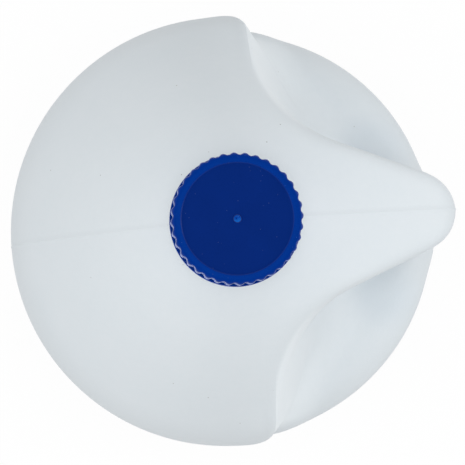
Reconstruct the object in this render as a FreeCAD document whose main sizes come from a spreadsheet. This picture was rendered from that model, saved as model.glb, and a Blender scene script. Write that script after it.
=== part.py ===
"""Round detergent jug with a moulded-in handle, a threaded neck and a fluted screw cap.

Millimetres, +Z up. The origin is on the jug's axis, on the surface that it stands on, and the handle points
along +X. The mould's parting plane is Y = 0.
"""
import FreeCAD
import Part
import math
import os
import Sketcher

Vector = FreeCAD.Vector

SIZES = {
    # Body of the jug
    "body_radius": 76.0,
    "bottle_wall": 1.2,
    "heel_radius": 14.0,
    "foot_ring_width": 7.0,
    "foot_height": 0.6,
    "foot_slope_run": 3.0,
    "foot_sink": 1.0,
    "base_push_up": 5.0,
    "base_slope_run": 10.0,
    # Shoulder, from the neck root down to the edge of the body
    "shoulder_edge_height": 176.0,
    "shoulder_rise": 86.0,
    "shoulder_top_angle": 42.0,
    "shoulder_edge_blend": 9.0,
    # Handle, seen from above as a wedge that narrows outwards
    "handle_top_angle": 33.0,
    "handle_tip_half_width": 8.6,
    "handle_taper_angle": 21.3,
    "handle_tip_blend": 10.0,
    "handle_spread_start": -5.0,
    "handle_spread_end": 42.0,
    # Finger pockets beside the handle
    "pocket_front": 11.0,
    "pocket_front_lean_inside": 0.30,
    "pocket_front_lean_outside": 0.06,
    "pocket_corner_blend": 25.0,
    "pocket_ridge_blend": 5.0,
    "pocket_foot_blend_inside": 30.0,
    "pocket_foot_blend_outside": 6.0,
    "pocket_fade": 12.0,
    "pocket_rim_height": 118.0,
    "pocket_rim_rise": 34.0,
    "pocket_floor_angle": 20.0,
    "pocket_rim_blend": 22.0,
    # Finger hole behind the grip
    "grip_depth": 23.0,
    "finger_hole_front": 27.0,
    "finger_hole_height": 185.0,
    "finger_hole_half_length": 35.0,
    "finger_hole_tilt": 14.0,
    "finger_hole_squareness": 2.5,
    "finger_hole_flare": 7.0,
    "finger_hole_flare_start": 5.0,
    "finger_hole_flare_end": 18.0,
    "finger_hole_reach": 42.0,
    # Neck finish
    "neck_radius": 17.4,
    "neck_bore_radius": 15.2,
    "neck_height": 20.5,
    "neck_root_radius": 19.5,
    "neck_sink": 4.0,
    "neck_bore_sink": 8.0,
    "neck_flange_radius": 20.0,
    "neck_flange_height": 2.0,
    "neck_bead_radius": 18.4,
    "neck_bead_height": 1.5,
    "neck_bead_gap": 0.6,
    "neck_rim_chamfer": 0.5,
    # Thread, shared by neck and cap
    "thread_pitch": 4.233,
    "thread_turns": 1.5,
    "thread_crest_radius": 18.6,
    "thread_root_width": 2.3,
    "thread_crest_width": 1.0,
    "thread_below_rim": 2.9,
    "thread_sink": 0.3,
    "thread_flank_gap": 0.35,
    "thread_radial_gap": 0.35,
    # Screw cap
    "cap_top_thickness": 1.6,
    "cap_recess_depth": 0.5,
    "cap_recess_radius": 17.7,
    "cap_recess_slope": 0.5,
    "cap_top_radius": 20.7,
    "cap_skirt_radius": 20.75,
    "cap_edge_round": 1.8,
    "cap_gate_radius": 1.05,
    "cap_gate_height": 0.4,
    "flute_count": 36,
    "flute_radius": 2.0,
    "flute_floor_radius": 19.85,
    # Tamper band
    "band_radius": 20.9,
    "band_wall": 2.0,
    "band_height": 5.2,
    "band_lip_height": 1.6,
    "band_play": 0.2,
    "band_lip_gap": 0.4,
    "bridge_count": 12,
    "bridge_width": 0.9,
    "bridge_height": 0.3,
    "bridge_gap": 0.2,
    # Liner
    "liner_thickness": 1.5,
    "liner_side_gap": 0.35,
}

# How finely the curved shoulder is sampled: points round a ring, and the step between rings
RING_POINTS = 120
RING_STEP = 6.0
HEEL_RINGS = 7
HOLE_POINTS = 36
HOLE_SECTIONS = 11
BISECTIONS = 44
LOFT_DEGREE = 2


class Size:
    """A number from the size sheet, kept together with the expression that gives it."""

    def __init__(self, value, text):
        self.value = value
        self.text = text

    @staticmethod
    def of(thing):
        if isinstance(thing, Size):
            return thing
        return Size(thing, str(thing))

    def joined(self, sign, other, value):
        return Size(value, f"({self.text} {sign} {other.text})")

    def __add__(self, other):
        other = Size.of(other)
        return self.joined("+", other, self.value + other.value)

    def __sub__(self, other):
        other = Size.of(other)
        return self.joined("-", other, self.value - other.value)

    def __mul__(self, other):
        other = Size.of(other)
        return self.joined("*", other, self.value * other.value)

    def __truediv__(self, other):
        other = Size.of(other)
        return self.joined("/", other, self.value / other.value)


class Sheet:
    """The size sheet: every alias becomes an attribute that is a Size."""

    def __init__(self, document):
        cells = document.addObject("Spreadsheet::Sheet", "sizes")
        for row, (alias, number) in enumerate(SIZES.items(), start=1):
            cells.set(f"A{row}", alias)
            cells.set(f"B{row}", str(number))
            cells.setAlias(f"B{row}", alias)
        document.recompute()
        for alias in SIZES:
            setattr(self, alias, Size(float(cells.get(alias)), f"sizes.{alias}"))


doc = FreeCAD.newDocument("detergent_jug")
size = Sheet(doc)
ZERO = Size(0.0, "0")


# Sketching and feature helpers

def origin_feature(body, role):
    return next(item for item in body.Origin.OriginFeatures if item.Role == role)


def new_sketch(body, name, plane):
    sketch = body.newObject("Sketcher::SketchObject", name)
    sketch.AttachmentSupport = [(origin_feature(body, plane), "")]
    sketch.MapMode = "FlatFace"
    return sketch


def bind_point(sketch, geometry, place, across, up):
    """Ties one point of a sketch to two sizes, measured from the sketch's origin."""
    for kind, target in (("DistanceX", across), ("DistanceY", up)):
        number = sketch.addConstraint(Sketcher.Constraint(kind, -1, 1, geometry, place, target.value))
        sketch.setExpression(f"Constraints[{number}]", target.text)


def closed_outline(sketch, corners):
    """Draws straight lines from corner to corner, each corner bound to the sheet."""
    count = len(corners)
    for index, (across, up) in enumerate(corners):
        next_across, next_up = corners[(index + 1) % count]
        start = Vector(across.value, up.value, 0)
        end = Vector(next_across.value, next_up.value, 0)
        sketch.addGeometry(Part.LineSegment(start, end), False)
    for index in range(count):
        sketch.addConstraint(Sketcher.Constraint("Coincident", index, 2, (index + 1) % count, 1))
    for index, (across, up) in enumerate(corners):
        bind_point(sketch, index, 1, across, up)


def turned(body, name, corners):
    """Turns an outline of (radius, height) corners round the Z axis."""
    sketch = new_sketch(body, f"{name}_outline", "XZ_Plane")
    closed_outline(sketch, corners)
    feature = body.newObject("PartDesign::Revolution", name)
    feature.Profile = sketch
    feature.ReferenceAxis = (origin_feature(body, "Z_Axis"), [""])
    feature.Angle = 360.0
    return feature


def circle_sketch(body, name, across, radius):
    """A circle in the XY plane with its centre on the X axis."""
    sketch = new_sketch(body, name, "XY_Plane")
    sketch.addGeometry(Part.Circle(Vector(across.value, 0, 0), Vector(0, 0, 1), radius.value), False)
    bind_point(sketch, 0, 3, across, ZERO)
    number = sketch.addConstraint(Sketcher.Constraint("Radius", 0, radius.value))
    sketch.setExpression(f"Constraints[{number}]", radius.text)
    return sketch


def polar(body, name, feature, count):
    pattern = body.newObject("PartDesign::PolarPattern", name)
    pattern.Originals = [feature]
    pattern.Axis = (origin_feature(body, "Z_Axis"), [""])
    pattern.Angle = 360.0
    pattern.setExpression("Occurrences", count.text)
    body.Tip = pattern
    return pattern


def thread_ridge(body, name, corners):
    """Winds an outline up the Z axis at the thread's pitch."""
    sketch = new_sketch(body, f"{name}_outline", "XZ_Plane")
    closed_outline(sketch, corners)
    doc.recompute()
    ridge = body.newObject("PartDesign::AdditiveHelix", name)
    ridge.Profile = sketch
    ridge.ReferenceAxis = (origin_feature(body, "Z_Axis"), [""])
    ridge.Mode = "pitch-turns-angle"
    ridge.setExpression("Pitch", size.thread_pitch.text)
    ridge.setExpression("Turns", size.thread_turns.text)
    ridge.LeftHanded = False
    ridge.Reversed = False
    return ridge


# Heights that several pieces share

neck_root_height = size.shoulder_edge_height + size.shoulder_rise
flange_top = neck_root_height + size.neck_flange_height
rim_height = neck_root_height + size.neck_height
band_bottom = flange_top + size.band_play
lip_top = band_bottom + size.band_lip_height
band_top = band_bottom + size.band_height
bead_bottom = lip_top + size.neck_bead_gap
skirt_bottom = band_top + size.bridge_height + size.bridge_gap
cap_underside = rim_height + size.liner_thickness
disc_height = cap_underside + size.cap_top_thickness
cap_top = disc_height + size.cap_recess_depth
cap_bore_radius = size.thread_crest_radius + size.thread_radial_gap
thread_top = rim_height - size.thread_below_rim
thread_start = thread_top - size.thread_pitch * size.thread_turns


# Shape of the jug as a field that is positive inside, about the distance from its surface

def blend_lower(first, second, width):
    """The lower of two numbers, rounded off where they are closer than width."""
    near = max(width - abs(first - second), 0.0)
    return min(first, second) - near * near / (4 * width)


def blend_higher(first, second, width):
    return -blend_lower(-first, -second, width)


def ease(start, end, place):
    """Goes smoothly from 0 at start to 1 at end."""
    share = min(max((place - start) / (end - start), 0.0), 1.0)
    return share * share * (3 - 2 * share)


def mixed(first, second, share):
    return first + (second - first) * share


def top_surface(x, radius, height):
    """How far below the shoulder or the handle's top a point lies, and the top's slope there."""
    run = size.body_radius.value - size.neck_root_radius.value
    shoulder_slope = math.tan(math.radians(size.shoulder_top_angle.value))
    handle_slope = math.tan(math.radians(size.handle_top_angle.value))
    shoulder_bend = (size.shoulder_rise.value - shoulder_slope * run) / run ** 2
    handle_share = ease(size.handle_spread_start.value, size.handle_spread_end.value, x)
    slope = mixed(shoulder_slope, handle_slope, handle_share)
    bend = shoulder_bend * (1 - handle_share)
    out = radius - size.neck_root_radius.value
    depth = neck_root_height.value - slope * out - bend * out ** 2 - height
    return depth, slope + 2 * bend * out, handle_share


def body_wall(radius, height):
    """Distance inside the straight wall and the round heel."""
    heel = size.heel_radius.value
    past_wall = radius - (size.body_radius.value - heel)
    past_base = heel - height
    corner = math.hypot(max(past_wall, 0.0), max(past_base, 0.0))
    return heel - corner - min(max(past_wall, past_base), 0.0)


def pocket_sides(x, y, radius, depth):
    """Distance inside the uncut part: in front of the pockets, or between them in the handle."""
    rim_share = (radius / size.body_radius.value) ** 2
    lean = mixed(size.pocket_front_lean_inside.value, size.pocket_front_lean_outside.value, rim_share)
    front = (size.pocket_front.value - x + depth * lean) / math.hypot(1, lean)
    taper = math.tan(math.radians(size.handle_taper_angle.value))
    half_width = size.handle_tip_half_width.value + (size.body_radius.value - x) * taper
    side = (half_width - abs(y)) / math.hypot(1, taper)
    return blend_higher(front, side, size.pocket_corner_blend.value)


def pocket_floor(x, radius, height):
    fall = math.tan(math.radians(size.pocket_floor_angle.value))
    rise = size.pocket_rim_rise.value * x / size.body_radius.value
    level = size.pocket_rim_height.value + rise + fall * (size.body_radius.value - radius)
    return (level - height) / math.hypot(1, fall)


def jug_field(x, y, height):
    radius = math.hypot(x, y)
    depth, slope, handle_share = top_surface(x, radius, height)
    top = depth / math.hypot(1, slope)
    sides = pocket_sides(x, y, radius, depth)
    floor = pocket_floor(x, radius, height)
    wall = body_wall(radius, height)
    middle_share = max(1 - (radius / size.body_radius.value) ** 2, 0.0)
    foot = mixed(size.pocket_foot_blend_outside.value, size.pocket_foot_blend_inside.value, middle_share)
    upper = blend_lower(top, blend_higher(sides, floor, foot), size.pocket_ridge_blend.value)
    edge = mixed(size.shoulder_edge_blend.value, size.handle_tip_blend.value, handle_share)
    edge = mixed(edge, size.pocket_rim_blend.value, ease(0.0, size.pocket_fade.value, -sides))
    return blend_lower(upper, wall, edge)


def surface_radius(angle, height, inset):
    """Where a level line from the axis comes within inset of the jug's surface."""
    inside = 0.0
    outside = size.body_radius.value
    across = math.cos(angle)
    along = math.sin(angle)
    for _ in range(BISECTIONS):
        middle = (inside + outside) / 2
        if jug_field(middle * across, middle * along, height) > inset:
            inside = middle
        else:
            outside = middle
    return inside


# Curved solids that no sketch can give

def closed_curve(points):
    """A smooth closed wire through points, with the same knots for every curve of a loft."""
    count = len(points)
    knots = [index / count for index in range(count + 1)]
    curve = Part.BSplineCurve()
    curve.interpolate(Points=points, PeriodicFlag=True, Parameters=knots)
    return Part.Wire([curve.toShape()])


def level_ring(height, inset):
    points = []
    for index in range(RING_POINTS):
        angle = math.pi + 2 * math.pi * index / RING_POINTS
        radius = surface_radius(angle, height, inset)
        points.append(Vector(radius * math.cos(angle), radius * math.sin(angle), height))
    return closed_curve(points)


def ring_heights(inset):
    """Heights of the rings: close together round the heel, even above it."""
    heel = size.heel_radius.value
    lowest = size.foot_height.value + inset
    first_turn = math.acos((heel - lowest) / (heel - inset))
    heights = []
    for index in range(HEEL_RINGS):
        turn = mixed(first_turn, math.pi / 2, index / (HEEL_RINGS - 1))
        heights.append(heel - (heel - inset) * math.cos(turn))
    top = neck_root_height.value
    steps = math.ceil((top - heel) / RING_STEP)
    for index in range(1, steps + 1):
        heights.append(mixed(heel, top, index / steps))
    return heights


def jug_loft(name, inset):
    rings = [level_ring(height, inset) for height in ring_heights(inset)]
    solid = doc.addObject("Part::Feature", name)
    solid.Shape = Part.makeLoft(rings, True, False, False, LOFT_DEGREE)
    return solid


def hole_section(y, grow):
    """Outline of the finger hole at a distance from the parting plane."""
    flare = ease(size.finger_hole_flare_start.value, size.finger_hole_flare_end.value, abs(y))
    front = size.finger_hole_front.value - grow
    back = size.body_radius.value - size.grip_depth.value + flare * size.finger_hole_flare.value + grow
    half_width = (back - front) / 2
    half_length = size.finger_hole_half_length.value + grow
    power = 2 / size.finger_hole_squareness.value
    tilt = math.radians(size.finger_hole_tilt.value)
    points = []
    for index in range(HOLE_POINTS):
        angle = 2 * math.pi * index / HOLE_POINTS
        wide = half_width * math.copysign(abs(math.cos(angle)) ** power, math.cos(angle))
        tall = half_length * math.copysign(abs(math.sin(angle)) ** power, math.sin(angle))
        x = (front + back) / 2 + wide * math.cos(tilt) - tall * math.sin(tilt)
        z = size.finger_hole_height.value + wide * math.sin(tilt) + tall * math.cos(tilt)
        points.append(Vector(x, y, z))
    return closed_curve(points)


def finger_hole(name, grow):
    reach = size.finger_hole_reach.value
    places = [mixed(-reach, reach, index / (HOLE_SECTIONS - 1)) for index in range(HOLE_SECTIONS)]
    solid = doc.addObject("Part::Feature", name)
    sections = [hole_section(y, grow) for y in places]
    solid.Shape = Part.makeLoft(sections, True, False, False, LOFT_DEGREE)
    return solid


# Booleans

def cut(name, base, tool):
    result = doc.addObject("Part::Cut", name)
    result.Base = base
    result.Tool = tool
    return result


def fuse(name, shapes):
    result = doc.addObject("Part::MultiFuse", name)
    result.Shapes = shapes
    return result


# Bottle

def foot(name, lift):
    """The disc under the heel that the jug stands on, or the hollow above it."""
    body = doc.addObject("PartDesign::Body", name)
    ring_outside = size.body_radius - size.heel_radius
    slope_top = size.foot_height + lift
    disc_top = slope_top + size.foot_sink
    turned(body, f"{name}_turned", [
        (ZERO, lift),
        (ring_outside, lift),
        (ring_outside + size.foot_slope_run, slope_top),
        (ring_outside + size.foot_slope_run, disc_top),
        (ZERO, disc_top),
    ])
    return body


def push_up(name, wall):
    """The hollow under the base that leaves the foot ring, grown by a wall."""
    body = doc.addObject("PartDesign::Body", name)
    edge = size.body_radius - size.heel_radius - size.foot_ring_width + wall
    bottom = ZERO - size.foot_sink
    turned(body, f"{name}_turned", [
        (ZERO, bottom),
        (edge, bottom),
        (edge, wall),
        (edge - size.base_slope_run, size.base_push_up + wall),
        (ZERO, size.base_push_up + wall),
    ])
    return body


def neck():
    """Flange, bead and rim, solid right through, with the thread outside."""
    body = doc.addObject("PartDesign::Body", "neck_outside")
    radius = size.neck_radius
    bead_slope = size.neck_bead_radius - radius
    turned(body, "neck_turned", [
        (ZERO, neck_root_height - size.neck_sink),
        (size.neck_flange_radius, neck_root_height - size.neck_sink),
        (size.neck_flange_radius, flange_top),
        (radius, flange_top),
        (radius, bead_bottom),
        (size.neck_bead_radius, bead_bottom),
        (size.neck_bead_radius, bead_bottom + size.neck_bead_height - bead_slope),
        (radius, bead_bottom + size.neck_bead_height),
        (radius, rim_height - size.neck_rim_chamfer),
        (radius - size.neck_rim_chamfer, rim_height),
        (ZERO, rim_height),
    ])
    root = radius - size.thread_sink
    crest = size.thread_crest_radius
    half_root = size.thread_root_width / 2
    half_crest = size.thread_crest_width / 2
    thread_ridge(body, "neck_thread", [
        (root, thread_start - half_root),
        (crest, thread_start - half_crest),
        (crest, thread_start + half_crest),
        (root, thread_start + half_root),
    ])
    return body


def neck_bore():
    bore = doc.addObject("Part::Cylinder", "neck_bore")
    bottom = neck_root_height - size.neck_bore_sink
    bore.setExpression("Radius", size.neck_bore_radius.text)
    bore.setExpression("Height", (rim_height - bottom + size.neck_rim_chamfer).text)
    bore.setExpression("Placement.Base.z", bottom.text)
    return bore


def bottle():
    wall = size.bottle_wall
    outside = cut("outside_with_hole", jug_loft("outside_loft", 0.0), finger_hole("finger_hole", 0.0))
    inside = cut("inside_round_hole", jug_loft("inside_loft", wall.value),
                 finger_hole("finger_hole_lined", wall.value))
    outer = fuse("outside_filled", [outside, foot("foot_outside", ZERO), neck()])
    inner = fuse("inside_filled", [inside, foot("foot_inside", wall), neck_bore()])
    outer_hollow = cut("bottle_outside", outer, push_up("push_up_outside", ZERO))
    inner_hollow = cut("bottle_inside", inner, push_up("push_up_inside", wall))
    return cut("bottle", outer_hollow, inner_hollow)


# Closure

def screw_cap():
    body = doc.addObject("PartDesign::Body", "screw_cap")
    plain = turned(body, "cap_turned", [
        (ZERO, disc_height + size.cap_gate_height),
        (size.cap_gate_radius, disc_height + size.cap_gate_height),
        (size.cap_gate_radius, disc_height),
        (size.cap_recess_radius - size.cap_recess_slope, disc_height),
        (size.cap_recess_radius, cap_top),
        (size.cap_top_radius, cap_top),
        (size.cap_skirt_radius, skirt_bottom),
        (cap_bore_radius, skirt_bottom),
        (cap_bore_radius, cap_underside),
        (ZERO, cap_underside),
    ])
    doc.recompute()
    rounded = body.newObject("PartDesign::Fillet", "cap_rounded_edge")
    rounded.Base = (plain, [edge_at(plain.Shape, size.cap_top_radius.value, cap_top.value)])
    rounded.setExpression("Radius", size.cap_edge_round.text)
    doc.recompute()
    flute_centre = size.flute_floor_radius + size.flute_radius
    flute = body.newObject("PartDesign::Pocket", "cap_flute")
    flute.Profile = circle_sketch(body, "cap_flute_outline", flute_centre, size.flute_radius)
    flute.Type = "ThroughAll"
    flute.Reversed = True
    polar(body, "cap_flutes", flute, size.flute_count)
    doc.recompute()
    root = cap_bore_radius + size.thread_sink
    crest = size.neck_radius + size.thread_radial_gap
    half_root = size.thread_root_width / 2
    half_crest = size.thread_crest_width / 2
    middle = thread_start - size.thread_pitch / 2 + size.thread_flank_gap
    thread_ridge(body, "cap_thread", [
        (root, middle - half_root),
        (root, middle + half_root),
        (crest, middle + half_crest),
        (crest, middle - half_crest),
    ])
    return body


def edge_at(shape, radius, height):
    """Name of the round edge of that radius at that height."""
    for number, edge in enumerate(shape.Edges, start=1):
        curve = edge.Curve
        if isinstance(curve, Part.Circle):
            if abs(curve.Radius - radius) < 1e-6 and abs(curve.Center.z - height) < 1e-6:
                return f"Edge{number}"
    raise RuntimeError(f"no round edge of radius {radius} at height {height}")


def tamper_band():
    body = doc.addObject("PartDesign::Body", "tamper_band")
    inner = size.band_radius - size.band_wall
    lip = size.neck_radius + size.band_lip_gap
    turned(body, "band_turned", [
        (lip, band_bottom),
        (size.band_radius, band_bottom),
        (size.band_radius, band_top),
        (inner, band_top),
        (inner, lip_top),
        (lip, lip_top),
    ])
    doc.recompute()
    sketch = new_sketch(body, "band_bridge_outline", "XZ_Plane")
    middle = size.band_radius - size.band_wall / 2
    half = size.bridge_width / 2
    closed_outline(sketch, [
        (middle - half, band_top - size.bridge_height),
        (middle + half, band_top - size.bridge_height),
        (middle + half, band_top + size.bridge_height),
        (middle - half, band_top + size.bridge_height),
    ])
    bridge = body.newObject("PartDesign::Pad", "band_bridge")
    bridge.Profile = sketch
    bridge.setExpression("Length", size.bridge_width.text)
    bridge.Midplane = True
    polar(body, "band_bridges", bridge, size.bridge_count)
    return body


def cap_liner():
    body = doc.addObject("PartDesign::Body", "cap_liner")
    radius = cap_bore_radius - size.liner_side_gap
    turned(body, "liner_turned", [
        (ZERO, rim_height),
        (radius, rim_height),
        (radius, cap_underside),
        (ZERO, cap_underside),
    ])
    return body


pieces = [bottle(), screw_cap(), tamper_band(), cap_liner()]
doc.recompute()

for item in doc.Objects:
    if "Invalid" in item.State or "Error" in item.State:
        raise RuntimeError(f"{item.Name} failed: {item.State}")
for piece in pieces:
    if piece.Shape.isNull() or not piece.Shape.isValid() or len(piece.Shape.Solids) != 1:
        raise RuntimeError(f"{piece.Label} is not one valid solid")

os.makedirs("parts", exist_ok=True)
for piece in pieces:
    piece.Shape.exportStep(f"parts/{piece.Label}.step")
    print(piece.Label, round(piece.Shape.Volume, 1), piece.Shape.BoundBox)
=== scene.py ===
"""Round white detergent jug with a moulded-in handle, under a fluted blue screw cap.

Metres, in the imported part's own frame: +Z up along the neck, +X towards the handle, and Y = 0 is the plane
where the mould parts. The size tables are in millimetres and degrees.
"""

import math
from types import SimpleNamespace

import bmesh
import bpy
from mathutils import Matrix, Vector


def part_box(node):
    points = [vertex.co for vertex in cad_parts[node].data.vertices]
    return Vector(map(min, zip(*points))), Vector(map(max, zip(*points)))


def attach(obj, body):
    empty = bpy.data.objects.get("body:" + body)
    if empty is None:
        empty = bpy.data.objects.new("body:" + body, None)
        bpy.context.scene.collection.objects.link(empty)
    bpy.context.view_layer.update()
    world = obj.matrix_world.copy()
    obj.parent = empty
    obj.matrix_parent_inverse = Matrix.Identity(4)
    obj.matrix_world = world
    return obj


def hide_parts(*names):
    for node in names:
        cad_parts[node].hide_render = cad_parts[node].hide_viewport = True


MM = 0.001

# Shape of the jug, as its construction has it
JUG = {
    "body_radius": 76.0,
    "heel_radius": 14.0,
    "foot_ring_width": 7.0,
    "base_push_up": 5.0,
    "base_slope_run": 10.0,
    "base_edge_blend": 2.5,
    "shoulder_edge_height": 176.0,
    "shoulder_rise": 86.0,
    "shoulder_top_angle": 42.0,
    "shoulder_edge_blend": 9.0,
    "neck_root_radius": 19.5,
    "handle_top_angle": 33.0,
    "handle_tip_half_width": 8.6,
    "handle_taper_angle": 21.3,
    "handle_tip_blend": 10.0,
    "handle_spread_start": -5.0,
    "handle_spread_end": 42.0,
    "pocket_front": 11.0,
    "pocket_front_lean_inside": 0.30,
    "pocket_front_lean_outside": 0.06,
    "pocket_corner_blend": 25.0,
    "pocket_ridge_blend": 5.0,
    "pocket_foot_blend_inside": 30.0,
    "pocket_foot_blend_outside": 6.0,
    "pocket_fade": 12.0,
    "pocket_rim_height": 118.0,
    "pocket_rim_rise": 34.0,
    "pocket_floor_angle": 20.0,
    "pocket_rim_blend": 22.0,
    "grip_depth": 23.0,
    "finger_hole_front": 27.0,
    "finger_hole_height": 185.0,
    "finger_hole_half_length": 35.0,
    "finger_hole_tilt": 14.0,
    "finger_hole_squareness": 2.5,
    "finger_hole_flare": 7.0,
    "finger_hole_flare_start": 5.0,
    "finger_hole_flare_end": 18.0,
    "finger_hole_blend": 9.0,
}
JUG_WALL = 1.2

# Where light and shade are painted into the pockets: a painted highlight under the fold, and painted shade
# beside the grip, by the finger hole's mouth
FOLD_HIGHLIGHT = SimpleNamespace(least_depth=1.5, full_depth=5.0, near=13.0, far=36.0, edge=71.0, outside=75.0)
GRIP_SHADE = SimpleNamespace(x=55.5, aside=25.5, core=5.0, reach=17.0, least_depth=8.0, full_depth=25.0)
POCKETS_ABOVE = SimpleNamespace(none=96.0, full=110.0)

# How the jug's skin is meshed: cell, room round it, probe for its slope, hole that the neck fills
SKIN = {"cell": 2.0, "margin": 4.0, "probe": 0.25, "neck_opening": 17.6}
SKIN_OUTSIDE = -10.0
SKIN_EVENING = 4
SKIN_FITTINGS = 3
SKIN_PROBES = ((1, -1, -1), (-1, -1, 1), (-1, 1, -1), (1, 1, 1))
FINGER_HOLE_LEAST_SLOPE = 0.01

# Line that the two halves of the mould leave. It ends above the foot, which stands flat
SEAM = SimpleNamespace(half_width=0.45, crest_half_width=0.14, slack=0.0014, height=0.16, lowest=1.5)

# Neck finish
NECK = SimpleNamespace(height=20.5, radius=17.4, bore_radius=15.2, sink=4.0,
                       flange_radius=20.0, flange_height=2.0,
                       bead_radius=18.4, bead_rise=2.4, bead_flat=0.5, bead_height=1.5,
                       foot_round=0.3, lip_inner_round=0.5, lip_outer_round=0.6,
                       bead_round=0.2, flange_round=0.5)

# Thread of neck and cap. Its ends fade out over a share of its length
THREAD = {"pitch": 4.233, "turns": 1.5, "root_width": 2.3, "crest_width": 1.0, "fade": 0.06}
THREAD_STEPS = 96
THREAD_LEAST_SCALE = 0.02
THREAD_CREST_RADIUS = 18.6
THREAD_BELOW_RIM = 2.9
THREAD_RADIAL_GAP = 0.35
THREAD_FLANK_GAP = 0.35
THREAD_SINK = 0.3

# Screw cap
CAP = SimpleNamespace(top_radius=20.7, skirt_radius=20.75, bore_radius=18.95, top_thickness=1.6,
                      recess_radius=17.7, recess_depth=0.5, recess_slope=0.5,
                      edge_round=1.8, recess_round=0.4, skirt_round=0.15, bore_round=0.3,
                      underside_round=0.4)

# Gate mark in the middle of the cap, and where its colours start and end: painted light on one side, painted
# shade on the other and in its pit
GATE = SimpleNamespace(radius=1.15, slope=0.1, lip=0.7, crater=0.45, height=0.4, crater_height=0.2,
                       crater_round=0.1, lip_round=0.12, foot_round=0.05,
                       paint_edge=1.2075, paint_full=0.9775, painted_light_y=-0.8, painted_shade_y=0.6,
                       pit_x=-0.37, pit_y=0.1, pit_edge=0.5, pit_full=0.2)

# Flutes round the cap
FLUTE = SimpleNamespace(count=36, floor_radius=19.95, depth=0.95, fullness=1.25, edge_blend=0.6,
                        columns=14, turn=-1.3)

# Tamper band and the stubs of its broken bridges
BAND = SimpleNamespace(radius=20.9, wall=2.0, lip_gap=0.4, lip_height=1.6,
                       lip_round=0.3, bottom_round=0.5, top_round=0.4, inner_round=0.25,
                       lip_root_round=0.3, lip_top_round=0.5)
BRIDGE = SimpleNamespace(count=12, height=0.3, foot_radius=0.5, tip_radius=0.36, sides=12,
                         edge=0.08, edge_steps=2, edge_profile=0.5)

# Foam liner: how far it swells beside the rim that presses into it
LINER = SimpleNamespace(swell=0.2, swell_run=0.3, slack=0.02, swell_round=0.2, edge_round=0.25)

# How finely turned pieces are drawn, and how close, in metres, two points count as one
TURN_STEPS = 160
ARC_STEPS = 8
JOIN_DISTANCE = 2e-6
CUT_DISTANCE = 1e-7

# White plastic of the jug: its colours, the widths of its patterns, how strongly each shows, and its gloss
MILKY = SimpleNamespace(
    dull=(0.668, 0.725, 0.760, 1), pale=(0.728, 0.770, 0.800, 1),
    # The first two colours on the next line are a painted highlight under the pockets' fold and painted
    # shade beside the grip
    fold_highlight=(0.82, 0.87, 0.90, 1), grip_shade=(0.58, 0.65, 0.71, 1), speck=(0.30, 0.30, 0.29, 1),
    cloud_width=26.0, mottle_width=2.4, peel_width=0.7, speck_spacing=9.0, speck_radius=0.3,
    cloud_share=0.6, fold_highlight_share=0.85, grip_shade_share=0.4, speck_share=0.7, peel_share=0.6,
    roughness=0.44, roughness_spread=0.12, peel_depth=0.05, specular=0.15)

# Blue plastic of the cap and the band, with the painted light and shade of the gate mark. Seen straight on
# it hardly shines
BLUE = SimpleNamespace(
    smooth_deep=(0.0002, 0.0225, 0.190, 1), smooth_pale=(0.0004, 0.0315, 0.262, 1),
    etched_deep=(0.0013, 0.0140, 0.125, 1), etched_pale=(0.0019, 0.0198, 0.175, 1),
    gate_painted_light=(0.006, 0.100, 0.440, 1), gate_painted_shade=(0.002, 0.055, 0.330, 1),
    gate_pit_painted_shade=(0.000, 0.030, 0.240, 1), dust=(0.25, 0.32, 0.50, 1),
    cloud_width=11.0, grain_width=0.55, dust_spacing=1.7, dust_radius=0.11,
    grain_share=0.5, dust_share=0.3, grain_depth=0.03,
    smooth_roughness=0.22, etched_roughness=0.34, roughness_spread=0.12,
    specular=0.5, specular_tint=(0.005, 0.03, 0.10, 1),
    sheen=0.5, sheen_roughness=0.35, sheen_tint=(0.42, 0.50, 1.0, 1))

# Foam of the liner
FOAM = SimpleNamespace(
    dull=(0.80, 0.80, 0.77, 1), pale=(0.88, 0.88, 0.86, 1), pore=(0.62, 0.62, 0.60, 1),
    cloud_width=6.0, pore_spacing=0.55, pore_radius=0.2, pore_share=0.5, pore_depth=0.06,
    roughness=0.75, roughness_spread=0.1, specular=0.3)
CLOUD_DETAIL = 2.0

# Sockets of a Mix node for colours, whose names it also gives to sockets for other kinds
MIX = SimpleNamespace(share=0, first=6, second=7, result=2)

# Camera: where it stands, its focal length and the width of its square picture in pixels, and its turns
CAMERA = SimpleNamespace(place=(-31.116, -28.806, 1152.841), focus=2806.784, picture=465, sensor=36.0,
                         tilt_x=-1.627, tilt_y=1.934, roll=4.3)

# Soft lamps: where each stands, in metres, its side in metres and its power in watts
LAMPS = {
    "left_panel": ((-1.20, 0.00, 0.90), 0.9, 3.1),
    "near_panel": ((0.00, -1.20, 0.90), 0.9, 1.7),
    "low_right_panel": ((1.40, 0.00, 0.40), 0.7, 4.5),
    "overhead_panel": ((-0.03, -0.03, 1.60), 0.4, 3.8),
}
LAMP_AIM = (0.0, 0.0, 0.18)
FILL_LIGHT = 0.75
FLOOR_HALF = 4.0
FLOOR_GLOW = 0.93
FLOOR_GREY = (0.5, 0.5, 0.5, 1.0)
FLOOR_WHITE = (0.95, 0.95, 0.95, 1.0)
WHITE = (1.0, 1.0, 1.0, 1.0)


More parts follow.
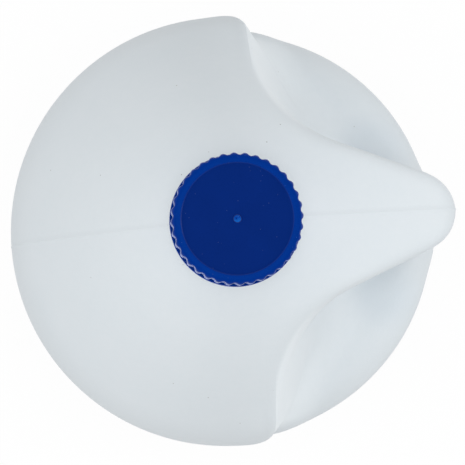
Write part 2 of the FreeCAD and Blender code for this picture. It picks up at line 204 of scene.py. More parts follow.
class Wire:
    """A value that flows through a node tree. Arithmetic on one that is a number adds Math nodes."""

    def __init__(self, tree, socket):
        self.tree = tree
        self.socket = socket

    def math(self, operation, *others):
        return self.tree.math(operation, self, *others)

    def __add__(self, other):
        return self.math("ADD", other)

    def __radd__(self, other):
        return self.math("ADD", other)

    def __sub__(self, other):
        return self.math("SUBTRACT", other)

    def __rsub__(self, other):
        return self.tree.math("SUBTRACT", other, self)

    def __mul__(self, other):
        return self.math("MULTIPLY", other)

    def __rmul__(self, other):
        return self.math("MULTIPLY", other)

    def __truediv__(self, other):
        return self.math("DIVIDE", other)

    def __rtruediv__(self, other):
        return self.tree.math("DIVIDE", other, self)

    def __pow__(self, power):
        return self.math("POWER", power)

    def __neg__(self):
        return self.math("MULTIPLY", -1.0)

    def __abs__(self):
        return self.math("ABSOLUTE")

    def __lt__(self, other):
        return self.math("LESS_THAN", other)

    def __gt__(self, other):
        return self.math("GREATER_THAN", other)


class Tree:
    """A node tree under construction, of a shape or of a material."""

    def __init__(self, nodes):
        self.nodes = nodes

    def node(self, kind, settings=None, sockets=None):
        """Adds a node: its settings come first, then the values or links of its sockets."""
        made = self.nodes.nodes.new(kind)
        for name, value in (settings or {}).items():
            setattr(made, name, value)
        for name, value in (sockets or {}).items():
            self.feed(made.inputs[name], value)
        return made

    def feed(self, socket, value):
        """Links a wire to a socket, or sets the socket to a constant."""
        if isinstance(value, Wire):
            self.nodes.links.new(value.socket, socket)
        else:
            socket.default_value = value

    def wire(self, kind, settings=None, sockets=None, output=0):
        return Wire(self, self.node(kind, settings, sockets).outputs[output])

    def math(self, operation, *values):
        return self.wire("ShaderNodeMath", {"operation": operation}, dict(enumerate(values)))

    def vector(self, operation, *values, output=0, scale=None):
        sockets = dict(enumerate(values))
        if scale is not None:
            sockets["Scale"] = scale
        return self.wire("ShaderNodeVectorMath", {"operation": operation}, sockets, output)

    def apart(self, vector):
        """The three numbers of a vector."""
        node = self.node("ShaderNodeSeparateXYZ", None, {0: vector})
        return [Wire(self, socket) for socket in node.outputs]

    def together(self, x, y, z):
        return self.wire("ShaderNodeCombineXYZ", None, {0: x, 1: y, 2: z})

    def ease(self, start, end, place):
        """Goes smoothly from 0 at start to 1 at end."""
        return self.wire("ShaderNodeMapRange", {"interpolation_type": "SMOOTHSTEP"},
                         {"Value": place, "From Min": start, "From Max": end})

    def colour_mix(self, first, second, share):
        """Goes from the first colour to the second as share goes from 0 to 1."""
        return self.wire("ShaderNodeMix", {"data_type": "RGBA"},
                         {MIX.share: share, MIX.first: first, MIX.second: second}, MIX.result)


class ShapeTree(Tree):
    """A geometry node tree with named inputs for its sizes."""

    def __init__(self, name, sizes, first_kind="NodeSocketGeometry", first_name="Geometry",
                 result_kind="NodeSocketGeometry", result_name="Geometry"):
        group = bpy.data.node_groups.new(name, "GeometryNodeTree")
        super().__init__(group)
        group.interface.new_socket(first_name, in_out="INPUT", socket_type=first_kind)
        for label, number in sizes.items():
            kind = "NodeSocketInt" if isinstance(number, int) else "NodeSocketFloat"
            socket = group.interface.new_socket(label, in_out="INPUT", socket_type=kind)
            socket.default_value = number
        group.interface.new_socket(result_name, in_out="OUTPUT", socket_type=result_kind)
        self.group = group
        self.source = self.node("NodeGroupInput")
        self.first = Wire(self, self.source.outputs[first_name])
        self.size = SimpleNamespace(**{label: Wire(self, self.source.outputs[label]) for label in sizes})

    def finish(self, result):
        self.node("NodeGroupOutput", None, {0: result})
        return self.group

    def finish_mesh(self, mesh, material):
        """Ends the tree with one realized, smooth mesh of one material."""
        realized = self.wire("GeometryNodeRealizeInstances", None, {"Geometry": mesh})
        smooth = self.wire("GeometryNodeSetShadeSmooth", None, {"Geometry": realized})
        return self.finish(self.wire("GeometryNodeSetMaterial", None,
                                     {"Geometry": smooth, "Material": material}))


def grown(name, group, sizes, start=None):
    """Runs a shape tree on a starting mesh and keeps the result as a plain mesh."""
    piece = bpy.data.objects.new(name, start or bpy.data.meshes.new(name))
    bpy.context.scene.collection.objects.link(piece)
    modifier = piece.modifiers.new("shape", "NODES")
    modifier.node_group = group
    for item in group.interface.items_tree:
        if item.in_out == "INPUT" and item.name in sizes:
            modifier[item.identifier] = sizes[item.name]
    evaluated = piece.evaluated_get(bpy.context.evaluated_depsgraph_get())
    result = bpy.data.meshes.new_from_object(evaluated)
    piece.modifiers.remove(modifier)
    piece.data = result
    result.name = name
    return piece


# The jug's shape as a rule: how far inside its surface a point lies

def lower(first, second):
    return first.math("MINIMUM", second)


def higher(first, second):
    return first.math("MAXIMUM", second)


def blend_lower(first, second, width):
    """The lower of two numbers, rounded off where they are closer than width."""
    near = higher(width - abs(first - second), 0.0)
    return lower(first, second) - near * near / (width * 4)


def blend_higher(first, second, width):
    return -blend_lower(-first, -second, width)


def mixed(first, second, share):
    return first + (second - first) * share


def length(first, second):
    return (first * first + second * second).math("SQRT")


def slope_of(angle):
    """Slope of an angle in degrees, which is a wire or a plain number."""
    if isinstance(angle, Wire):
        return angle.math("RADIANS").math("TANGENT")
    return math.tan(math.radians(angle))


def top_surface(tree, size, x, radius, height):
    """How far below the top a point lies, the top's slope there, and how far it is the handle's top."""
    run = size.body_radius - size.neck_root_radius
    shoulder_slope = slope_of(size.shoulder_top_angle)
    shoulder_bend = (size.shoulder_rise - shoulder_slope * run) / (run * run)
    handle_share = tree.ease(size.handle_spread_start, size.handle_spread_end, x)
    slope = mixed(shoulder_slope, slope_of(size.handle_top_angle), handle_share)
    bend = shoulder_bend * (1 - handle_share)
    out = radius - size.neck_root_radius
    neck_root = size.shoulder_edge_height + size.shoulder_rise
    depth = neck_root - slope * out - bend * out * out - height
    return depth, slope + bend * out * 2, handle_share


def body_wall(size, radius, height):
    """Distance inside the straight wall and the round heel."""
    past_wall = radius - (size.body_radius - size.heel_radius)
    past_base = size.heel_radius - height
    corner = length(higher(past_wall, 0.0), higher(past_base, 0.0))
    return size.heel_radius - corner - lower(higher(past_wall, past_base), 0.0)


def base_hollow(tree, size, radius, height):
    """Distance above the pushed-up middle of the base. It starts clear of the foot ring."""
    edge = size.body_radius - size.heel_radius - size.foot_ring_width
    share = tree.ease(edge, edge - size.base_slope_run, radius)
    return height + mixed(size.base_edge_blend, -size.base_push_up, share)


def pocket_sides(size, x, y, radius, depth):
    """Distance inside the uncut part: in front of the pockets, or between them in the handle."""
    rim_share = (radius / size.body_radius) ** 2
    lean = mixed(size.pocket_front_lean_inside, size.pocket_front_lean_outside, rim_share)
    front = (size.pocket_front - x + depth * lean) / (lean * lean + 1).math("SQRT")
    taper = slope_of(size.handle_taper_angle)
    half_width = size.handle_tip_half_width + (size.body_radius - x) * taper
    side = (half_width - abs(y)) / (taper * taper + 1).math("SQRT")
    return blend_higher(front, side, size.pocket_corner_blend)


def pocket_floor(size, x, radius, height):
    fall = slope_of(size.pocket_floor_angle)
    rise = size.pocket_rim_rise * x / size.body_radius
    level = size.pocket_rim_height + rise + fall * (size.body_radius - radius)
    return (level - height) / (fall * fall + 1).math("SQRT")


def finger_hole(tree, size, x, y, height):
    """Distance outside the tilted, rounded hole that runs through behind the grip."""
    flare = tree.ease(size.finger_hole_flare_start, size.finger_hole_flare_end, abs(y))
    back = size.body_radius - size.grip_depth + flare * size.finger_hole_flare
    half_width = (back - size.finger_hole_front) / 2
    across = x - (back + size.finger_hole_front) / 2
    up = height - size.finger_hole_height
    tilt = size.finger_hole_tilt.math("RADIANS")
    cosine = tilt.math("COSINE")
    sine = tilt.math("SINE")
    power = size.finger_hole_squareness
    wide = abs(across * cosine + up * sine) / half_width
    tall = abs(up * cosine - across * sine) / size.finger_hole_half_length
    reach = (wide ** power + tall ** power) ** (1 / power)
    steep = length((wide / reach) ** (power - 1) / half_width,
                   (tall / reach) ** (power - 1) / size.finger_hole_half_length)
    return (reach - 1) / higher(steep, FINGER_HOLE_LEAST_SLOPE)


def jug_rule():
    """A node group that says how far inside the jug a place is, in millimetres."""
    tree = ShapeTree("jug rule", JUG, "NodeSocketVector", "Place", "NodeSocketFloat", "Inside")
    size = tree.size
    x, y, height = tree.apart(tree.first)
    radius = length(x, y)
    depth, slope, handle_share = top_surface(tree, size, x, radius, height)
    top = depth / (slope * slope + 1).math("SQRT")
    sides = pocket_sides(size, x, y, radius, depth)
    floor = pocket_floor(size, x, radius, height)
    middle_share = higher(1 - (radius / size.body_radius) ** 2, 0.0)
    foot = mixed(size.pocket_foot_blend_outside, size.pocket_foot_blend_inside, middle_share)
    upper = blend_lower(top, blend_higher(sides, floor, foot), size.pocket_ridge_blend)
    edge = mixed(size.shoulder_edge_blend, size.handle_tip_blend, handle_share)
    edge = mixed(edge, size.pocket_rim_blend, tree.ease(0.0, size.pocket_fade, -sides))
    inside = blend_lower(upper, body_wall(size, radius, height), edge)
    inside = blend_lower(inside, finger_hole(tree, size, x, y, height), size.finger_hole_blend)
    inside = blend_lower(inside, base_hollow(tree, size, radius, height), size.base_edge_blend)
    return tree.finish(lower(inside, size.shoulder_edge_height + size.shoulder_rise - height))


def jug_skin(material):
    """A shape tree that meshes the jug rule and fits every point to the surface."""
    tree = ShapeTree("jug skin", {**JUG, **SKIN})
    rule = jug_rule()
    size = tree.size
    sizes = {label: getattr(size, label) for label in JUG}

    def inside_at(place):
        return tree.wire("GeometryNodeGroup", {"node_tree": rule}, {"Place": place, **sizes})

    def metres(x, y, z):
        return tree.vector("SCALE", tree.together(x, y, z), scale=MM)

    def place():
        here = tree.wire("GeometryNodeInputPosition")
        return tree.vector("SCALE", here, scale=1 / MM)

    reach = size.body_radius + size.margin
    top = size.shoulder_edge_height + size.shoulder_rise + size.margin
    across = reach * 2 / size.cell
    block = tree.wire("GeometryNodeVolumeCube", None, {
        "Density": inside_at(place()), "Background": SKIN_OUTSIDE,
        "Min": metres(-reach, -reach, -size.margin), "Max": metres(reach, reach, top),
        "Resolution X": across, "Resolution Y": across,
        "Resolution Z": (top + size.margin) / size.cell})
    skin = tree.wire("GeometryNodeVolumeToMesh", {"resolution_mode": "GRID"},
                     {"Volume": block, "Threshold": 0.0})
    here = tree.wire("GeometryNodeInputPosition")
    evened = tree.wire("GeometryNodeBlurAttribute", {"data_type": "FLOAT_VECTOR"},
                       {"Value": here, "Iterations": SKIN_EVENING})
    skin = tree.wire("GeometryNodeSetPosition", None, {"Geometry": skin, "Position": evened})
    for _ in range(SKIN_FITTINGS):
        skin = fitted(tree, skin, place(), inside_at)
    x, y, height = tree.apart(place())
    opening = (length(x, y) < size.neck_opening) * (height > size.shoulder_edge_height)
    skin = tree.wire("GeometryNodeDeleteGeometry", {"domain": "FACE"},
                     {"Geometry": skin, "Selection": opening})
    return tree.finish_mesh(skin, material)


def fitted(tree, skin, place, inside_at):
    """Moves each point of the skin along the rule's slope, onto the surface."""
    step = tree.size.probe
    total = None
    slope = None
    for corner in SKIN_PROBES:
        shift = tree.vector("SCALE", corner, scale=step)
        inside = inside_at(tree.vector("ADD", place, shift))
        part = tree.vector("SCALE", corner, scale=inside)
        total = inside if total is None else total + inside
        slope = part if slope is None else tree.vector("ADD", slope, part)
    steep = tree.vector("DOT_PRODUCT", slope, slope, output="Value")
    shift = -total * step * MM / steep
    offset = tree.vector("SCALE", slope, scale=shift)
    return tree.wire("GeometryNodeSetPosition", None, {"Geometry": skin, "Offset": offset})


def raise_parting_seam(mesh):
    """Cuts edge loops beside the parting plane and lifts the thin line that the mould leaves."""
    cut = bmesh.new()
    cut.from_mesh(mesh)
    for place in (SEAM.half_width, SEAM.crest_half_width):
        for side in (-1, 1):
            geometry = [*cut.verts, *cut.edges, *cut.faces]
            bmesh.ops.bisect_plane(cut, geom=geometry, dist=CUT_DISTANCE,
                                   plane_co=(0, side * place * MM, 0), plane_no=(0, 1, 0))
    cut.normal_update()
    crest = (SEAM.crest_half_width + SEAM.slack) * MM
    raised = [(point, point.normal.copy()) for point in cut.verts
              if abs(point.co.y) <= crest and point.co.z > SEAM.lowest * MM]
    for point, normal in raised:
        point.co += normal * SEAM.height * MM
    cut.to_mesh(mesh)
    cut.free()


def jug_shell(material):
    shell = grown("jug_shell", jug_skin(material), {**JUG, **SKIN})
    raise_parting_seam(shell.data)
    wall = shell.modifiers.new("wall", "SOLIDIFY")
    wall.thickness = JUG_WALL * MM
    wall.offset = -1.0
    return shell


# Turned pieces

def rounded(corners):
    """An outline of (radius, height) points from (radius, height, rounding) corners."""
    points = []
    for index, (radius, height, rounding) in enumerate(corners):
        corner = Vector((radius, height))
        if rounding == 0:
            points.append(corner)
            continue
        before = (Vector(corners[index - 1][:2]) - corner).normalized()
        after = (Vector(corners[(index + 1) % len(corners)][:2]) - corner).normalized()
        half = before.angle(after) / 2
        middle = corner + (before + after).normalized() * rounding / math.sin(half)
        start = corner + before * rounding / math.tan(half) - middle
        end = corner + after * rounding / math.tan(half) - middle
        turn = start.angle_signed(end)
        for step in range(ARC_STEPS + 1):
            spoke = start.copy()
            spoke.rotate(Matrix.Rotation(-turn * step / ARC_STEPS, 2))
            points.append(middle + spoke)
    return points


def spun(name, outline, material, closed):
    """Turns an outline round the Z axis. A closed one makes a ring, an open one ends on the axis."""
    piece = bmesh.new()
    points = [piece.verts.new((radius * MM, 0, height * MM)) for radius, height in outline]
    pairs = list(zip(points, points[1:] + points[:1]))
    if not closed:
        pairs = pairs[:-1]
    edges = [piece.edges.new(pair) for pair in pairs]
    bmesh.ops.spin(piece, geom=points + edges, cent=(0, 0, 0), axis=(0, 0, 1),
                   angle=2 * math.pi, steps=TURN_STEPS, use_merge=True)
    return kept(name, piece, material)


def kept(name, piece, material):
    """Closes a drawn mesh, turns its faces outwards and makes it a piece."""
    bmesh.ops.remove_doubles(piece, verts=piece.verts, dist=JOIN_DISTANCE)
    bmesh.ops.recalc_face_normals(piece, faces=piece.faces)
    mesh = bpy.data.meshes.new(name)
    piece.to_mesh(mesh)
    piece.free()
    mesh.shade_smooth()
    mesh.materials.append(material)
    made = bpy.data.objects.new(name, mesh)
    bpy.context.scene.collection.objects.link(made)
    return made


def thread_tree(material):
    """A shape tree that winds a right-handed ridge. Both its ends fade into the wall that carries it."""
    tree = ShapeTree("thread ridge", {**THREAD, "radius": 0.0, "start": 0.0, "root": 0.0, "crest": 0.0})
    size = tree.size
    helix = tree.wire("GeometryNodeCurveSpiral", None, {
        "Resolution": THREAD_STEPS, "Rotations": size.turns, "Start Radius": size.radius * MM,
        "End Radius": size.radius * MM, "Height": size.pitch * size.turns * MM, "Reverse": True})
    along = tree.wire("GeometryNodeSplineParameter")
    fade = tree.ease(0.0, size.fade, along) * tree.ease(1.0, 1 - size.fade, along)
    middle = (size.root + size.crest) / 2
    here = tree.wire("GeometryNodeInputPosition")
    outwards = tree.vector("MULTIPLY", here, (1, 1, 0))
    offset = tree.vector("SCALE", outwards, scale=(middle / size.radius - 1) * fade)
    helix = tree.wire("GeometryNodeSetPosition", None, {"Geometry": helix, "Offset": offset})
    helix = tree.wire("GeometryNodeSetCurveNormal", {"mode": "Z_UP"}, {"Curve": helix})
    rise = size.crest - size.root
    section = tree.wire("GeometryNodeCurvePrimitiveQuadrilateral", {"mode": "TRAPEZOID"}, {
        "Height": abs(rise) * MM, "Bottom Width": size.root_width * MM,
        "Top Width": size.crest_width * MM, "Offset": 0.0})
    crest_turn = rise.math("SIGN") * (-math.pi / 2)
    section = tree.wire("GeometryNodeTransform", None, {
        "Geometry": section, "Rotation": tree.together(0.0, 0.0, crest_turn)})
    ridge = tree.wire("GeometryNodeCurveToMesh", None, {
        "Curve": helix, "Profile Curve": section,
        "Scale": higher(fade, THREAD_LEAST_SCALE), "Fill Caps": True})
    ridge = tree.wire("GeometryNodeTransform", None, {
        "Geometry": ridge, "Translation": tree.together(0.0, 0.0, size.start * MM)})
    return tree.finish_mesh(ridge, material)


def ring_of_copies(name, count, material):
    """A shape tree that repeats its geometry evenly round the Z axis and closes the joints."""
    tree = ShapeTree(name, {"count": count})
    points = tree.wire("GeometryNodePoints", None, {"Count": tree.size.count})
    number = tree.wire("GeometryNodeInputIndex")
    turn = tree.together(0.0, 0.0, number * (2 * math.pi) / tree.size.count)
    copies = tree.wire("GeometryNodeInstanceOnPoints", None,
                       {"Points": points, "Instance": tree.first, "Rotation": turn})
    whole = tree.wire("GeometryNodeRealizeInstances", None, {"Geometry": copies})
    closed = tree.wire("GeometryNodeMergeByDistance", None,
                       {"Geometry": whole, "Distance": JOIN_DISTANCE})
    return tree.finish_mesh(closed, material)


def neck_finish(material, rim):
    """The neck, with its flange and the bead that holds the band down."""
    root = rim - NECK.height
    flange_top = root + NECK.flange_height
    bead = flange_top + NECK.bead_rise
    return spun("neck_finish", rounded([
        (NECK.bore_radius, root - NECK.sink, NECK.foot_round),
        (NECK.bore_radius, rim, NECK.lip_inner_round),
        (NECK.radius, rim, NECK.lip_outer_round),
        (NECK.radius, bead + NECK.bead_height, NECK.bead_round),
        (NECK.bead_radius, bead + NECK.bead_flat, NECK.bead_round),
        (NECK.bead_radius, bead, NECK.bead_round),
        (NECK.radius, bead, NECK.bead_round),
        (NECK.radius, flange_top, NECK.flange_round),
        (NECK.flange_radius, flange_top, NECK.flange_round),
        (NECK.flange_radius, root - NECK.sink, NECK.foot_round),
    ]), material, closed=True)


def thread_start(rim):
    return rim - THREAD_BELOW_RIM - THREAD["pitch"] * THREAD["turns"]


def neck_thread(material, rim):
    return grown("neck_thread", thread_tree(material), {
        **THREAD, "start": thread_start(rim), "radius": NECK.radius,
        "root": NECK.radius - THREAD_SINK, "crest": THREAD_CREST_RADIUS})


def cap_thread(material, rim):
    """The cap's own ridge, between the turns of the neck's thread and pointing inwards."""
    start = thread_start(rim) - THREAD["pitch"] / 2 + THREAD_FLANK_GAP
    return grown("cap_thread", thread_tree(material), {
        **THREAD, "start": start, "radius": CAP.bore_radius,
        "root": CAP.bore_radius + THREAD_SINK, "crest": NECK.radius + THREAD_RADIAL_GAP})


def flute_limit(turn):
    """Radius that the flutes leave at an angle from a flute's middle: a wave with rounded ridges."""
    wave = (1 - math.cos(FLUTE.count * turn)) / 2
    return FLUTE.floor_radius + FLUTE.depth * wave ** FLUTE.fullness


def softly_lower(first, second, width):
    near = max(width - abs(first - second), 0.0)
    return min(first, second) - near * near / (4 * width)


def cap_outline(bottom, top):
    """The cap's section, from the gate mark in its middle over the rim to its underside."""
    disc = top - CAP.recess_depth
    underside = disc - CAP.top_thickness
    return rounded([
        (0.0, disc + GATE.crater_height, 0),
        (GATE.crater, disc + GATE.crater_height, GATE.crater_round),
        (GATE.lip, disc + GATE.height, GATE.lip_round),
        (GATE.radius, disc + GATE.height, GATE.lip_round),
        (GATE.radius + GATE.slope, disc, GATE.foot_round),
        (CAP.recess_radius - CAP.recess_slope, disc, CAP.recess_round),
        (CAP.recess_radius, top, CAP.recess_round),
        (CAP.top_radius, top, CAP.edge_round),
        (CAP.skirt_radius, bottom, CAP.skirt_round),
        (CAP.bore_radius, bottom, CAP.bore_round),
        (CAP.bore_radius, underside, CAP.underside_round),
        (0.0, underside, 0),
    ])


def fluted_cap(material, bottom, top):
    """One flute's slice of the cap, repeated round the axis."""
    outline = cap_outline(bottom, top)
    half = math.pi / FLUTE.count
    piece = bmesh.new()
    columns = []
    for column in range(FLUTE.columns + 1):
        turn = half * (2 * column / FLUTE.columns - 1)
        limit = flute_limit(turn)
        angle = turn + half + math.radians(FLUTE.turn)
        points = []
        for radius, height in outline:
            if radius > CAP.bore_radius:
                radius = softly_lower(radius, limit, FLUTE.edge_blend)
            place = (radius * math.cos(angle), radius * math.sin(angle), height)
            points.append(piece.verts.new(Vector(place) * MM))
        columns.append(points)
    for left, right in zip(columns, columns[1:]):
        for row in range(len(left) - 1):
            piece.faces.new((left[row], left[row + 1], right[row + 1], right[row]))
    flute = bpy.data.meshes.new("flute")
    piece.to_mesh(flute)
    piece.free()
    ring = ring_of_copies("ring of flutes", FLUTE.count, material)
    return grown("fluted_cap", ring, {"count": FLUTE.count}, flute)


def band_ring(material, bottom, top):
    inside = BAND.radius - BAND.wall
    lip = NECK.radius + BAND.lip_gap
    lip_top = bottom + BAND.lip_height
    return spun("band_ring", rounded([
        (lip, bottom, BAND.lip_round),
        (BAND.radius, bottom, BAND.bottom_round),
        (BAND.radius, top, BAND.top_round),
        (inside, top, BAND.inner_round),
        (inside, lip_top, BAND.lip_root_round),
        (lip, lip_top, BAND.lip_top_round),
    ]), material, closed=True)


def band_bridges(material, top):
    """The stubs that the bridges between band and cap leave when they break."""
    stub = bmesh.new()
    place = Matrix.Translation(Vector((BAND.radius - BAND.wall / 2, 0, top)) * MM)
    bmesh.ops.create_cone(stub, cap_ends=True, segments=BRIDGE.sides, radius1=BRIDGE.foot_radius * MM,
                          radius2=BRIDGE.tip_radius * MM, depth=2 * BRIDGE.height * MM, matrix=place)
    tip = [edge for edge in stub.edges if all(point.co.z > top * MM for point in edge.verts)]
    bmesh.ops.bevel(stub, geom=tip, offset=BRIDGE.edge * MM, segments=BRIDGE.edge_steps,
                    affect="EDGES", profile=BRIDGE.edge_profile)
    mesh = bpy.data.meshes.new("bridge")
    stub.to_mesh(mesh)
    stub.free()
    ring = ring_of_copies("ring of bridges", BRIDGE.count, material)
    return grown("band_bridges", ring, {"count": BRIDGE.count}, mesh)


def foam_liner(material, radius, bottom, top):
    """The wad, which swells a little beside the rim that presses into it."""
    pressed = bottom + LINER.slack
    swollen = bottom - LINER.swell
    inside = NECK.bore_radius
    outside = NECK.radius
    return spun("foam_liner", rounded([
        (0.0, swollen, 0),
        (inside - LINER.swell_run, swollen, LINER.swell_round),
        (inside, pressed, LINER.swell_round),
        (outside, pressed, LINER.swell_round),
        (outside + LINER.swell_run, swollen, LINER.swell_round),
        (radius, swollen, LINER.edge_round),
        (radius, top - LINER.slack, LINER.edge_round),
        (0.0, top - LINER.slack, 0),
    ]), material, closed=False)


# Finishes

class Finish(Tree):
    """A material under construction, whose patterns are measured in millimetres on the piece."""

    def __init__(self, name):
        self.material = bpy.data.materials.new(name)
        self.material.use_nodes = True
        super().__init__(self.material.node_tree)
        self.shader = self.material.node_tree.nodes["Principled BSDF"]
        here = self.wire("ShaderNodeTexCoord", output="Object")
        self.place = self.vector("SCALE", here, scale=1 / MM)

    def clouds(self, width):
        """Soft noise from 0 to 1, in patches about width across."""
        return self.wire("ShaderNodeTexNoise", None,
                         {"Vector": self.place, "Scale": 1 / width, "Detail": CLOUD_DETAIL})

    def specks(self, spacing, radius):
        """1 on round specks strewn about spacing apart, and 0 between them."""
        away = self.wire("ShaderNodeTexVoronoi", None, {"Vector": self.place, "Scale": 1 / spacing})
        return self.ease(radius, radius / 2, away * spacing)

    def dressed(self, colour, roughness, height, depth, specular, tint=WHITE):
        """Feeds the shader: the height pattern, from 0 to 1, is depth millimetres deep."""
        normal = self.wire("ShaderNodeBump", None, {"Height": height, "Distance": depth * MM})
        inputs = self.shader.inputs
        self.feed(inputs["Base Color"], colour)
        self.feed(inputs["Roughness"], roughness)
        self.feed(inputs["Normal"], normal)
        inputs["Specular IOR Level"].default_value = specular
        inputs["Specular Tint"].default_value = tint
        return self.material

    def add_sheen(self, weight, roughness, tint):
        """Lights up the edges that are seen along their surface."""
        inputs = self.shader.inputs
        inputs["Sheen Weight"].default_value = weight
        inputs["Sheen Roughness"].default_value = roughness
        inputs["Sheen Tint"].default_value = tint


def pocket_painted_light(finish):
    """Masks of the light and shade painted into the pockets: a painted highlight under the fold, and painted
    shade beside the grip.
    """
    x, y, height = finish.apart(finish.place)
    radius = length(x, y)
    depth, _, _ = top_surface(finish, SimpleNamespace(**JUG), x, radius, height)
    above = finish.ease(POCKETS_ABOVE.none, POCKETS_ABOVE.full, height)
    sunk = finish.ease(FOLD_HIGHLIGHT.least_depth, FOLD_HIGHLIGHT.full_depth, depth)
    within = finish.ease(FOLD_HIGHLIGHT.outside, FOLD_HIGHLIGHT.edge, radius) * (x > JUG["pocket_front"])
    fold_highlight = finish.ease(FOLD_HIGHLIGHT.far, FOLD_HIGHLIGHT.near, x) * sunk * within * above
    beside_grip = finish.ease(GRIP_SHADE.reach, GRIP_SHADE.core, length(x - GRIP_SHADE.x, abs(y) - GRIP_SHADE.aside))
    grip_shade = finish.ease(GRIP_SHADE.least_depth, GRIP_SHADE.full_depth, depth) * beside_grip * above
    return fold_highlight, grip_shade


def milky_plastic():
    """Blow-moulded polyethylene: uneven milky white, orange-peel skin, a few grey specks.

    It carries a painted highlight under the pockets' fold, and painted shade beside the grip.
    """
    finish = Finish("milky_polyethylene")
    fold_highlight, grip_shade = pocket_painted_light(finish)
    cloud = finish.clouds(MILKY.cloud_width)
    mottle = finish.clouds(MILKY.mottle_width)
    peel = finish.clouds(MILKY.peel_width)
    speck = finish.specks(MILKY.speck_spacing, MILKY.speck_radius)
    colour = finish.colour_mix(MILKY.dull, MILKY.pale, mixed(mottle, cloud, MILKY.cloud_share))
    # Painted highlight under the pockets' fold, then painted shade beside the grip
    colour = finish.colour_mix(colour, MILKY.fold_highlight, fold_highlight * MILKY.fold_highlight_share)
    colour = finish.colour_mix(colour, MILKY.grip_shade, grip_shade * MILKY.grip_shade_share)
    colour = finish.colour_mix(colour, MILKY.speck, speck * MILKY.speck_share)
    roughness = mottle * MILKY.roughness_spread + MILKY.roughness
    relief = mixed(mottle, peel, MILKY.peel_share)
    return finish.dressed(colour, roughness, relief, MILKY.peel_depth, MILKY.specular)


def gate_light_and_shade(finish, x, y):
    """Colour of the gate mark: painted light on one side, painted shade on the other and in its pit."""
    shade_share = finish.ease(GATE.painted_light_y, GATE.painted_shade_y, y)
    pit_shade = finish.ease(GATE.pit_edge, GATE.pit_full, length(x - GATE.pit_x, y - GATE.pit_y))
    colour = finish.colour_mix(BLUE.gate_painted_light, BLUE.gate_painted_shade, shade_share)
    return finish.colour_mix(colour, BLUE.gate_pit_painted_shade, pit_shade)


def cap_plastic():
    """Injection-moulded polypropylene: smooth blue, darker on its etched disc, with specks of dust."""
    finish = Finish("deep_blue_polypropylene")
    x, y, _ = finish.apart(finish.place)
    radius = length(x, y)
    disc = finish.ease(CAP.recess_radius, CAP.recess_radius - CAP.recess_slope, radius)
    gate = finish.ease(GATE.paint_edge, GATE.paint_full, radius)
    cloud = finish.clouds(BLUE.cloud_width)
    grain = finish.clouds(BLUE.grain_width)
    dust = finish.specks(BLUE.dust_spacing, BLUE.dust_radius)
    shade = mixed(cloud, grain, BLUE.grain_share)
    smooth = finish.colour_mix(BLUE.smooth_deep, BLUE.smooth_pale, shade)
    etched = finish.colour_mix(BLUE.etched_deep, BLUE.etched_pale, shade)
    colour = finish.colour_mix(smooth, etched, disc)
    # Gate mark, painted with light on one side and shade on the other and in its pit
    colour = finish.colour_mix(colour, gate_light_and_shade(finish, x, y), gate)
    colour = finish.colour_mix(colour, BLUE.dust, dust * BLUE.dust_share)
    roughness = mixed(BLUE.smooth_roughness, BLUE.etched_roughness, disc) + grain * BLUE.roughness_spread
    finish.add_sheen(BLUE.sheen, BLUE.sheen_roughness, BLUE.sheen_tint)
    return finish.dressed(colour, roughness, grain * disc, BLUE.grain_depth,
                          BLUE.specular, BLUE.specular_tint)


def wad_foam():
    """Closed-cell foam with fine pores."""
    finish = Finish("wad_foam")
    pore = finish.specks(FOAM.pore_spacing, FOAM.pore_radius)
    cloud = finish.clouds(FOAM.cloud_width)
    colour = finish.colour_mix(FOAM.dull, FOAM.pale, cloud)
    colour = finish.colour_mix(colour, FOAM.pore, pore * FOAM.pore_share)
    roughness = cloud * FOAM.roughness_spread + FOAM.roughness
    return finish.dressed(colour, roughness, 1 - pore, FOAM.pore_depth, FOAM.specular)


# Camera, light and floor

def set_camera():
    camera = bpy.data.objects.new("camera", bpy.data.cameras.new("camera"))
    bpy.context.scene.collection.objects.link(camera)
    view = (Matrix.Rotation(math.radians(CAMERA.roll), 3, "Z")
            @ Matrix.Rotation(math.radians(CAMERA.tilt_x), 3, "X")
            @ Matrix.Rotation(math.radians(CAMERA.tilt_y), 3, "Y"))
    camera.matrix_world = Matrix.Translation(Vector(CAMERA.place) * MM) @ view.transposed().to_4x4()
    camera.data.sensor_width = CAMERA.sensor
    camera.data.lens = CAMERA.sensor * CAMERA.focus / CAMERA.picture
    bpy.context.scene.camera = camera


def set_lamps():
    for name, (place, side, power) in LAMPS.items():
        lamp = bpy.data.lights.new(name, "AREA")
        lamp.energy = power
        lamp.size = side
        panel = bpy.data.objects.new(name, lamp)
        panel.location = place
        panel.rotation_euler = (Vector(LAMP_AIM) - panel.location).to_track_quat("-Z", "Y").to_euler()
        panel.visible_camera = False
        bpy.context.scene.collection.objects.link(panel)


def seen_directly(tree):
    """1 for what the camera sees straight, in a reflection or through a clear wall."""
    path = tree.node("ShaderNodeLightPath")
    names = ("Is Camera Ray", "Is Glossy Ray", "Is Transmission Ray")
    straight, glossy, through = (Wire(tree, path.outputs[name]) for name in names)
    return higher(higher(straight, glossy), through)


def set_surroundings():
    """A world that looks white and lights the jug softly from all round."""
    world = bpy.data.worlds.new("white_surroundings")
    bpy.context.scene.world = world
    world.use_nodes = True
    tree = Tree(world.node_tree)
    background = world.node_tree.nodes["Background"].inputs
    background["Color"].default_value = WHITE
    tree.feed(background["Strength"], mixed(FILL_LIGHT, 1.0, seen_directly(tree)))


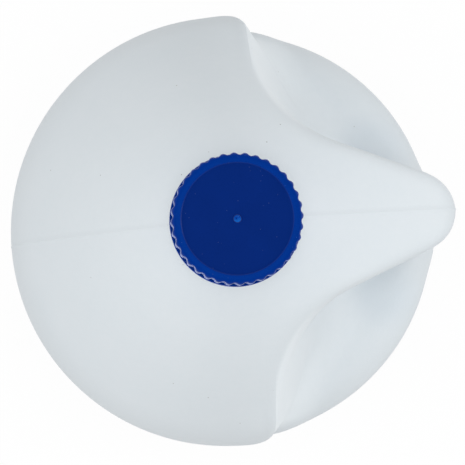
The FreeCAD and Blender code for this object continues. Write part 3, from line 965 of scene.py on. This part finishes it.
def set_floor():
    """A floor that looks white, keeps a faint shadow and throws little light back at the jug."""
    mesh = bpy.data.meshes.new("floor")
    corners = [(-1, -1), (1, -1), (1, 1), (-1, 1)]
    mesh.from_pydata([(x * FLOOR_HALF, y * FLOOR_HALF, 0) for x, y in corners], [], [(0, 1, 2, 3)])
    floor = bpy.data.objects.new("floor", mesh)
    bpy.context.scene.collection.objects.link(floor)
    material = bpy.data.materials.new("white_floor")
    material.use_nodes = True
    tree = Tree(material.node_tree)
    seen = seen_directly(tree)
    paint = tree.colour_mix(FLOOR_GREY, FLOOR_WHITE, seen)
    matt = tree.wire("ShaderNodeBsdfDiffuse", None, {"Color": paint})
    glow = tree.wire("ShaderNodeEmission", None, {"Color": WHITE, "Strength": 1.0})
    both = tree.wire("ShaderNodeMixShader", None, {0: seen * FLOOR_GLOW, 1: matt, 2: glow})
    tree.feed(material.node_tree.nodes["Material Output"].inputs["Surface"], both)
    mesh.materials.append(material)


# The part

def dress(piece, body, node=None):
    """Makes a piece ride on its body, and hides the node that it takes the place of."""
    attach(piece, body)
    if node:
        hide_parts(node)


def heights(node):
    low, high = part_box(node)
    return low.z / MM, high.z / MM


def dress_bottle(material):
    _, rim = heights("bottle")
    dress(jug_shell(material), "bottle", "bottle")
    dress(neck_finish(material, rim), "bottle")
    dress(neck_thread(material, rim), "bottle")


def dress_closure(plastic, foam):
    _, rim = heights("bottle")
    bottom, top = heights("screw_cap")
    dress(fluted_cap(plastic, bottom, top), "cap", "screw_cap")
    dress(cap_thread(plastic, rim), "cap")
    bottom, stub_top = heights("tamper_band")
    top = stub_top - BRIDGE.height
    dress(band_ring(plastic, bottom, top), "band", "tamper_band")
    dress(band_bridges(plastic, top), "band")
    bottom, top = heights("cap_liner")
    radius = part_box("cap_liner")[1].x / MM
    dress(foam_liner(foam, radius, bottom, top), "liner", "cap_liner")


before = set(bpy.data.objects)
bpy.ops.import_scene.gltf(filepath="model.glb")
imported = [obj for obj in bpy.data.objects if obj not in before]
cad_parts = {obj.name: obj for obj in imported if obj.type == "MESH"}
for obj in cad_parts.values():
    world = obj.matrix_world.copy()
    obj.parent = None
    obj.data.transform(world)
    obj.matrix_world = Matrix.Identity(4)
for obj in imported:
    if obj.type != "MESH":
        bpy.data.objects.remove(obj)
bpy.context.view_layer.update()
dress_bottle(milky_plastic())
dress_closure(cap_plastic(), wad_foam())
set_camera()
set_lamps()
set_surroundings()
set_floor()
bpy.context.scene.view_settings.view_transform = "Standard"
